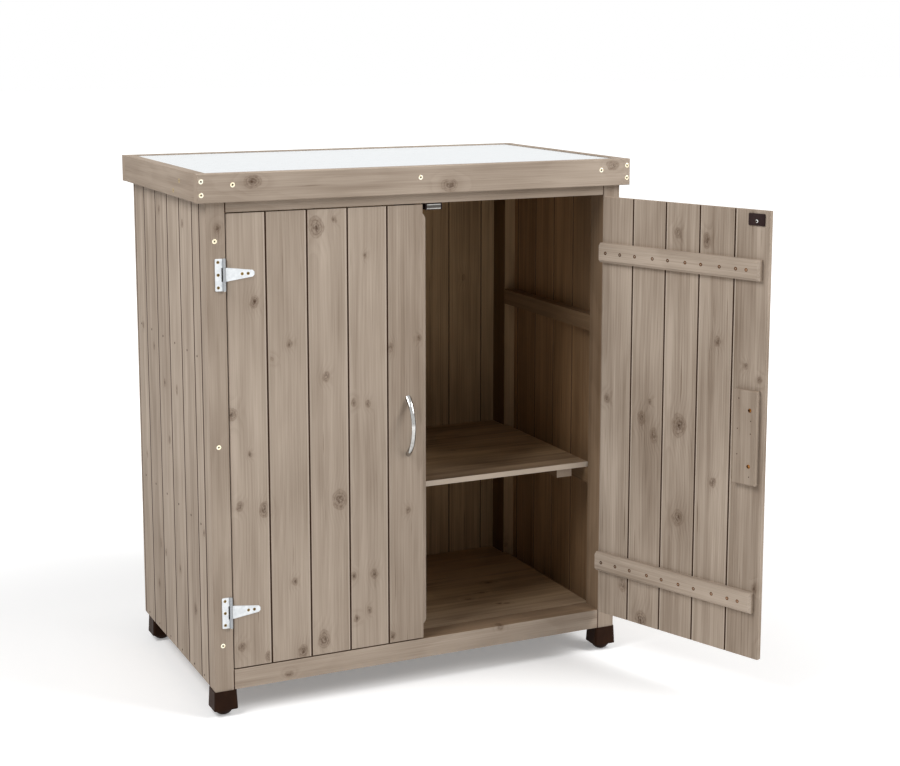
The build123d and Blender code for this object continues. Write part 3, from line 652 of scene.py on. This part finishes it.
# the rear posts' wood is set paler: painted light on their faces toward the doorway
rear_post_wood = stained_wood(
    "rear_post_wood", "Z", "X", share=0.1, inside=(CUPBOARD, FLOOR_PAINTED_SHADE), shaded=(REAR_POST_FLANKS,),
    pale=0.7,
)
rail_wood = stained_wood(
    "rail_wood", "X", "Z", knots=APRON_KNOTS, share=0.08, inside=(CUPBOARD, POST_PAINTED_SHADE), pale=0.62
)
front_rail_wood = stained_wood(
    "front_rail_wood", "X", "Z", knots=FRONT_RAIL_KNOTS, share=0.08, inside=(CUPBOARD, POST_PAINTED_SHADE),
    seams=END_SEAMS,
)
# set darker: painted shade for the strong light that falls on the left apron
side_rail_wood = stained_wood(
    "side_rail_wood", "Y", "Z", share=0.15, inside=(CUPBOARD, RAIL_PAINTED_SHADE), heads=APRON_HEADS, pale=0.46
)
cleat_wood = stained_wood("cleat_wood", "Y", "Z", share=0.1, inside=(BEHIND_CLEAT_END, WALL_PAINTED_SHADE))
floor_wood = stained_wood(
    "floor_wood", "X", "Y", knots=FLOOR_KNOTS, share=0.25, inside=(EVERYWHERE, FLOOR_PAINTED_SHADE), pale=0.85,
    figure=1.8,
)
shelf_wood = stained_wood(
    "shelf_wood", "X", "Y", share=0.25, inside=(BEHIND_SHELF_EDGE, FLOOR_PAINTED_SHADE), seams=(FRONT_EDGE,),
    figure=1.8,
)
left_batten_wood = stained_wood("left_batten_wood", "X", "Z", share=0.1, pale=0.85, figure=1.4)
right_batten_wood = stained_wood(
    "right_batten_wood", "X", "Z", door=RIGHT_DOOR, share=0.1, pale=0.85, figure=1.4
)
left_block_wood = stained_wood("left_block_wood", "Z", "X", share=0.1, pale=0.74)
right_block_wood = stained_wood("right_block_wood", "Z", "X", door=RIGHT_DOOR, share=0.1)

sheet_metal = galvanised_sheet()
# grey rounds on the hinges' knuckles: a painted reflection
zinc = plated_metal(
    "bright_zinc", tint(226, 229, 231), tint(206, 210, 213), roughness=0.34, metallic=0.6, shaded=on_knuckle,
    shade=tint(158, 161, 164),
)
magnet = plated_metal(
    "magnet", tint(186, 186, 182), tint(150, 149, 145), roughness=0.4, metallic=0.8, shaded=in_magnet,
    shade=tint(84, 80, 76),
)
chrome = plated_metal("chrome", tint(190, 190, 188), tint(164, 162, 159), roughness=0.07)
pale_brass = plated_metal("pale_brass", tint(252, 246, 226), tint(240, 226, 190), roughness=0.34)
olive_brass = plated_metal("olive_brass", tint(150, 128, 84), tint(104, 84, 50), roughness=0.4)
orange_brass = plated_metal("orange_brass", tint(186, 128, 66), tint(128, 80, 36), roughness=0.36)
dark_brass = plated_metal("dark_brass", tint(146, 92, 42), tint(88, 52, 24), roughness=0.4)
steel = plated_metal("plain_steel", tint(214, 215, 212), tint(172, 173, 171), roughness=0.35)
pin_steel = plated_metal("pin_steel", tint(96, 80, 66), tint(62, 48, 38), roughness=0.5)
recess = recess_shade_and_dust()
foot_plastic = moulded_plastic("foot_plastic", tint(36, 18, 7), tint(47, 27, 14))
catch_plastic = moulded_plastic("catch_plastic", tint(45, 32, 31), tint(57, 44, 43))

FINISH_OF = {
    left_door_wood: ("left_door_boards",),
    right_door_wood: ("right_door_boards",),
    side_wood: ("side_boards_left", "side_boards_right"),
    back_wood: ("back_boards",),
    post_wood: ("front_post_left", "front_post_right"),
    rear_post_wood: ("rear_post_left", "rear_post_right"),
    rail_wood: ("apron_front", "apron_back", "back_top_rail", "back_bottom_rail"),
    front_rail_wood: ("upper_front_rail", "lower_front_rail"),
    side_rail_wood: (
        "apron_left", "apron_right", "shelf_rails_left", "shelf_rails_right", "top_rail_left",
        "top_rail_right", "bottom_rail_left", "bottom_rail_right", "top_bearers",
    ),
    cleat_wood: ("floor_cleats", "shelf_cleats"),
    floor_wood: ("floor_panel", "top_deck"),
    shelf_wood: ("shelf_panel",),
    left_batten_wood: ("left_upper_ledger", "left_lower_ledger"),
    left_block_wood: ("left_handle_block", "left_meeting_strip"),
    right_batten_wood: ("right_upper_ledger", "right_lower_ledger"),
    right_block_wood: ("right_handle_block",),
    sheet_metal: ("sheet_metal_top",),
    zinc: ("left_hinge_straps", "left_hinge_plates", "right_hinge_straps", "right_hinge_plates"),
    steel: ("hinge_pins",),
    magnet: ("catch_magnets",),
    foot_plastic: ("foot_front_left", "foot_front_right", "foot_rear_left", "foot_rear_right"),
    catch_plastic: ("left_strike_plate", "right_strike_plate", "catch_left", "catch_right"),
}
for finish_material, names in FINISH_OF.items():
    for name in names:
        nodes[name].data.materials.clear()
        nodes[name].data.materials.append(finish_material)


# small pieces: each is modelled once at the origin, facing up or forwards, and copies are set in place
def pick(kind, test):
    """In edit mode, selects only the corners or the faces whose place passes the test."""
    bpy.ops.mesh.select_mode(type=kind)
    bpy.ops.mesh.select_all(action="DESELECT")
    bpy.ops.object.mode_set(mode="OBJECT")
    mesh = bpy.context.object.data
    if kind == "VERT":
        for corner in mesh.vertices:
            corner.select = test(corner.co)
    else:
        for face in mesh.polygons:
            face.select = test(face.center, face.normal)
    bpy.ops.object.mode_set(mode="EDIT")


def round_head(name, radius, crown, corners):
    """Starts a round head with its rim a little below zero height and its crown above the rim."""
    bpy.ops.object.select_all(action="DESELECT")
    bpy.ops.mesh.primitive_cylinder_add(vertices=corners, radius=radius, depth=radius)
    bpy.context.object.name = name
    bpy.ops.object.mode_set(mode="EDIT")
    bpy.ops.transform.translate(value=(0, 0, -radius * 0.55))
    pick("VERT", lambda place: place.z < -radius * 0.5)
    bpy.ops.transform.resize(value=(0.5, 0.5, 1.0), center_override=(0, 0, -radius))
    pick("FACE", lambda place, normal: normal.z > 0.9)
    bpy.ops.mesh.inset(thickness=radius * 0.1, depth=radius * 0.05 + crown * 0.5)
    bpy.ops.mesh.inset(thickness=radius * 0.12, depth=crown * 0.3)
    bpy.ops.mesh.inset(thickness=radius * 0.2, depth=crown * 0.2)


def finish_head(rim, inner):
    bpy.ops.object.mode_set(mode="OBJECT")
    head = bpy.context.object
    head.data.materials.append(rim)
    head.data.materials.append(inner)
    bpy.ops.object.shade_smooth_by_angle(angle=math.radians(35))
    return head


def cross_screw(name, radius, crown, rim, inner):
    """A screw with a cross recess, flat for a countersink or crowned."""
    round_head(name, radius, crown, 32)

    def between_arms(place):
        turn = math.degrees(math.atan2(place.y, place.x)) % 90
        reach = math.hypot(place.x, place.y)
        return place.z > crown - radius * 0.01 and reach < radius * 0.62 and 15 < turn < 75

    pick("VERT", between_arms)
    bpy.ops.transform.resize(value=(0.55, 0.55, 1.0), center_override=(0, 0, crown))
    pick("FACE", lambda place, normal: normal.z > 0.9 and math.hypot(place.x, place.y) < radius * 0.1)
    bpy.ops.mesh.extrude_region_move(TRANSFORM_OT_translate={"value": (0, 0, -radius * 0.42)})
    bpy.ops.transform.resize(value=(0.6, 0.6, 1.0), center_override=(0, 0, 0))
    head = finish_head(rim, inner)
    for face in head.data.polygons:
        reach = math.hypot(face.center.x, face.center.y)
        sunk = face.center.z < crown - radius * 0.02 and reach < radius * 0.56
        face.material_index = int(sunk and face.normal.z > -0.5)
    return head


def pin_head(name, radius, rim, inner):
    """A small domed pin driven level with the wood."""
    round_head(name, radius, radius * 0.25, 16)
    bpy.ops.mesh.inset(thickness=radius * 0.25, depth=-radius * 0.08)
    return finish_head(rim, inner)


def facing(place, way, turn):
    """The place and turn that bring a piece facing up to face the given way, turned about it by any angle."""
    tilt = way.to_track_quat("Z", "Y").to_matrix().to_4x4()
    return Matrix.Translation(place) @ tilt @ Matrix.Rotation(turn, 4, "Z")


def on_heads(name, *ways, crown=0.0):
    """Frames on the heads of a CAD node's screws, each facing the way that it lies from the middle."""
    frames = []
    for index, corners in enumerate(solids(name)):
        way = max(ways, key=corners[0].dot)
        across = UP.cross(way)
        middle = across * sum(span(corners, across)) / 2 + UP * sum(span(corners, UP)) / 2
        frames.append(facing(middle + way * (span(corners, way)[1] - crown), way, 0.7 * index))
    return frames


def set_copies(model, name, frames, body, replaced=()):
    """Copies a model into each frame, each copy with its own mesh, and joins them into one piece."""
    copies = []
    for placed in frames:
        bpy.ops.object.select_all(action="DESELECT")
        model.select_set(True)
        bpy.context.view_layer.objects.active = model
        bpy.ops.object.duplicate()
        copy = bpy.context.object
        copy.matrix_world = placed
        bpy.ops.object.transform_apply(location=True, rotation=True, scale=True)
        copies.append(copy)
    for copy in copies:
        copy.select_set(True)
    if len(copies) > 1:
        bpy.ops.object.join()
    piece = bpy.context.object
    piece.name = name
    piece.data.name = name
    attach(piece, body)
    if replaced:
        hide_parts(*replaced)


def drop(model):
    bpy.data.objects.remove(model, do_unlink=True)


def frame_screws():
    """The screws of the top frame and of the front posts."""
    screw = cross_screw("frame_screw", radius=0.004, crown=0.0, rim=pale_brass, inner=recess)
    apron = on_heads("apron_screws", FORWARD, BACKWARD)
    post = on_heads("post_screws", FORWARD)
    set_copies(screw, "apron_screw_heads", apron, "cabinet", ("apron_screws",))
    set_copies(screw, "post_screw_heads", post, "cabinet", ("post_screws",))
    drop(screw)


def hinge_screws():
    screw = cross_screw("hinge_screw", radius=0.0026, crown=0.0, rim=olive_brass, inner=recess)
    plate = on_heads("plate_screws", FORWARD)
    set_copies(screw, "plate_screw_heads", plate, "cabinet", ("plate_screws",))
    for door in DOORS:
        node = f"{door.side}_strap_screws"
        strap = on_heads(node, -door.inward)
        set_copies(screw, f"{door.side}_strap_screw_heads", strap, f"{door.side}_door", (node,))
    drop(screw)


def batten_screws():
    """Two screws to each board through the battens on the doors' backs, each in a dark ring of painted shade
    for the hole it is sunk in.

    Reaches are the screws' distances from the hinge line.
    """
    radius, proud = 0.0031, 0.00015
    reaches = (0.020, 0.053, 0.086, 0.125, 0.158, 0.195, 0.228, 0.266, 0.299, 0.320)
    screw = cross_screw("batten_screw", radius, crown=0.0, rim=dark_brass, inner=recess)
    # the outer ring takes the recess's painted shade, for the hole that the screw is sunk in
    for face in screw.data.polygons:
        if math.hypot(face.center.x, face.center.y) > radius * 0.68:
            face.material_index = 1
    for door in DOORS:
        frames = []
        for level in ("lower", "upper"):
            _, depth, height = door.extent(f"{door.side}_{level}_ledger")
            for reach in reaches:
                place = door.spot(reach, depth[1] + proud, sum(height) / 2)
                frames.append(facing(place, door.inward, 370 * reach))
        set_copies(screw, f"{door.side}_batten_screw_heads", frames, f"{door.side}_door")
    drop(screw)


def block_screws():
    """The handles' screws in the blocks on the doors' backs, and the pins that hold the blocks.

    The pins' places are across the door and up, from the middle of the block.
    """
    crown, proud = 0.0018, 0.00005
    upper_pins = ((0.013, 0.008), (-0.013, 0.014), (0.013, 0.030), (-0.012, 0.066))
    lower_pins = ((-0.013, -0.030), (0.012, -0.066))
    screw = cross_screw("handle_screw", radius=0.0034, crown=crown, rim=orange_brass, inner=recess)
    pin = pin_head("block_pin", radius=0.0011, rim=pin_steel, inner=recess)
    for door in DOORS:
        body = f"{door.side}_door"
        node = f"{door.side}_handle_screws"
        frames = on_heads(node, door.inward, crown=crown)
        set_copies(screw, f"{door.side}_handle_screw_heads", frames, body, (node,))
        reach, depth, height = door.extent(f"{door.side}_handle_block")
        middle = door.spot(sum(reach) / 2, depth[1] + proud, sum(height) / 2)
        frames = [
            facing(middle + door.along * across + UP * up, door.inward, 20 * up)
            for across, up in upper_pins + lower_pins
        ]
        set_copies(pin, f"{door.side}_block_pins", frames, body)
    drop(screw)
    drop(pin)


def strike_screws():
    """One screw a little below the middle of each strike plate."""
    below_middle, proud = 0.0026, 0.0001
    screw = cross_screw("strike_screw", radius=0.0031, crown=0.0009, rim=steel, inner=recess)
    for door in DOORS:
        reach, depth, height = door.extent(f"{door.side}_strike_plate")
        place = door.spot(sum(reach) / 2, depth[1] + proud, sum(height) / 2 - below_middle)
        frames = [facing(place, door.inward, 0.4)]
        set_copies(screw, f"{door.side}_strike_screw_head", frames, f"{door.side}_door")
    drop(screw)


def board_pins():
    """Pins that hold the side and back boards to the rails behind them."""
    proud, past_middle, back_pitch = 0.00005, 0.007, 0.0704
    side_seams, back_boards_each_way = 5, 5
    pin = pin_head("board_pin", radius=0.0021, rim=pin_steel, inner=recess)
    seams = [SIDE_ROW.seam + SIDE_COVER * board for board in range(side_seams)]
    seams = [SIDE_FRONT] + seams + [SIDE_REAR]
    frames = []
    for way, side in ((LEFTWARD, "left"), (RIGHTWARD, "right")):
        for rail in solids(f"bottom_rail_{side}") + solids(f"shelf_rails_{side}"):
            low, high = span(rail, UP)
            third_up = low + (high - low) / 3
            for front, rear in zip(seams, seams[1:]):
                place = way * (SIDE_X + proud) + BACKWARD * ((front + rear) / 2 + past_middle) + UP * third_up
                frames.append(facing(place, way, 1000 * rear))
    for rail in ("back_bottom_rail", "back_top_rail"):
        low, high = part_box(rail)
        for board in range(-back_boards_each_way, back_boards_each_way + 1):
            place = Vector((board * back_pitch, BACK_REAR + proud, (low[2] + high[2]) / 2))
            frames.append(facing(place, BACKWARD, board))
    set_copies(pin, "board_pins", frames, "cabinet")
    drop(pin)


def bow_model():
    """A bow of oval section, slim in the middle and stout at the feet, cut level with the door's face."""
    half_span, rise = 0.0485, 0.0226
    mid_width, mid_thickness, end_width, end_thickness = 0.008, 0.0046, 0.011, 0.0084
    radius = (half_span**2 + rise**2) / (2 * rise)
    foot = math.asin(half_span / radius)
    reach = foot + end_thickness / radius
    centre = Vector((0, radius - rise, 0))
    steps = 48
    bpy.ops.object.select_all(action="DESELECT")
    bpy.ops.mesh.primitive_circle_add(vertices=32, radius=1.0, fill_type="NGON")
    bow = bpy.context.object
    bow.name = "bow_handle"
    bpy.ops.object.mode_set(mode="EDIT")
    bpy.ops.transform.resize(value=(mid_width / 2, mid_thickness / 2, 1.0))
    bpy.ops.transform.translate(value=(0, -rise, 0))
    bpy.ops.transform.rotate(value=reach, orient_axis="X", center_override=centre)
    bpy.ops.mesh.spin(steps=steps, angle=2 * reach, center=centre, axis=(-1, 0, 0))
    for step in range(steps + 1):
        angle = (2 * step / steps - 1) * reach
        spread = (angle / foot) ** 2
        heart = centre + Vector((0, -math.cos(angle), math.sin(angle))) * radius
        pick("VERT", lambda place: abs(math.atan2(place.z, centre.y - place.y) - angle) < reach / steps)
        widen = 1 + spread * (end_width / mid_width - 1)
        thicken = 1 + spread * (end_thickness / mid_thickness - 1)
        bpy.ops.transform.resize(
            value=(widen, thicken, 1.0),
            orient_matrix=Matrix.Rotation(-angle, 3, "X"),
            orient_matrix_type="GLOBAL",
            center_override=heart,
        )
    bpy.ops.mesh.select_all(action="SELECT")
    bpy.ops.mesh.bisect(plane_co=(0, 0, 0), plane_no=(0, -1, 0), use_fill=True, clear_inner=True)
    bpy.ops.mesh.select_all(action="SELECT")
    bpy.ops.mesh.remove_doubles(threshold=1e-6)
    bpy.ops.mesh.normals_make_consistent(inside=False)
    bpy.ops.object.mode_set(mode="OBJECT")
    bow.data.materials.append(chrome)
    bpy.ops.object.shade_smooth_by_angle(angle=math.radians(40))
    return bow


def bow_handles():
    bow = bow_model()
    for door in DOORS:
        across, depth, height = door.extent(f"{door.side}_handle")
        turn = Matrix((door.inward.cross(UP), door.inward, UP)).transposed().to_4x4()
        placed = Matrix.Translation(door.spot(sum(across) / 2, depth[1], sum(height) / 2)) @ turn
        set_copies(bow, f"{door.side}_bow", [placed], f"{door.side}_door", (f"{door.side}_handle",))
    drop(bow)


frame_screws()
hinge_screws()
batten_screws()
block_screws()
strike_screws()
board_pins()
bow_handles()


# stage: a pale floor that keeps the shadow, glows less under and beside the bench as a painted shadow, and
# runs out to plain white
def pale_floor():
    bpy.ops.mesh.primitive_plane_add(size=60.0, location=(0.0, 0.0, 0.0))
    floor = bpy.context.object
    floor.name = "studio_floor"
    finish = material("studio_floor")
    axes = finish.axes(finish.place())
    # painted shadow: the floor glows less under the bench and just beside it
    under, beside, beyond = 0.25, 0.09, 0.66
    away = (axes.size() - SIDE_X).largest(axes.beside("Y").size() + POST_FRONT)
    glow = under + away.rise(-0.1, 0.2) * beside + away.rise(0.2, 1.4) * beyond
    finish.surface(
        Base_Color=(0.86, 0.86, 0.86, 1.0),
        Roughness=0.9,
        Specular_IOR_Level=0.0,
        Emission_Color=finish.blend(finish.seen() * glow, BLACK, WHITE),
        Emission_Strength=1.0,
    )
    floor.data.materials.append(finish.owner)


def white_surround():
    world = bpy.context.scene.world or bpy.data.worlds.new("studio")
    bpy.context.scene.world = world
    surround = Finish(world, "Background")
    surround.surface(Color=WHITE, Strength=0.25 + surround.seen() * 0.75)


def softbox(name, place, target, size, watts):
    bpy.ops.object.light_add(type="AREA", location=place)
    lamp = bpy.context.object
    lamp.name = name
    lamp.data.size = size
    lamp.data.energy = watts
    lamp.rotation_euler = (Vector(target) - Vector(place)).to_track_quat("-Z", "Y").to_euler()


pale_floor()
white_surround()
softbox("front_softbox", place=(2.56, -2.30, 2.90), target=(0.0, -0.2, 0.45), size=1.8, watts=113.0)
softbox("left_softbox", place=(-2.55, -0.85, 3.25), target=(0.0, -0.2, 0.5), size=1.8, watts=96.0)

# camera at the photograph's place: it looks down a little and to the right
CAMERA_PLACE = (-1.173, -2.836, 1.141)
CAMERA_DIP, CAMERA_TURN = math.radians(8.81), math.radians(25.1)
bpy.ops.object.camera_add(location=CAMERA_PLACE, rotation=(math.pi / 2 - CAMERA_DIP, 0.0, -CAMERA_TURN))
camera = bpy.context.object
camera.data.lens = 67.6
camera.data.sensor_width = 36.0
camera.data.shift_y = -0.10
bpy.context.scene.camera = camera
bpy.context.scene.view_settings.view_transform = "Standard"
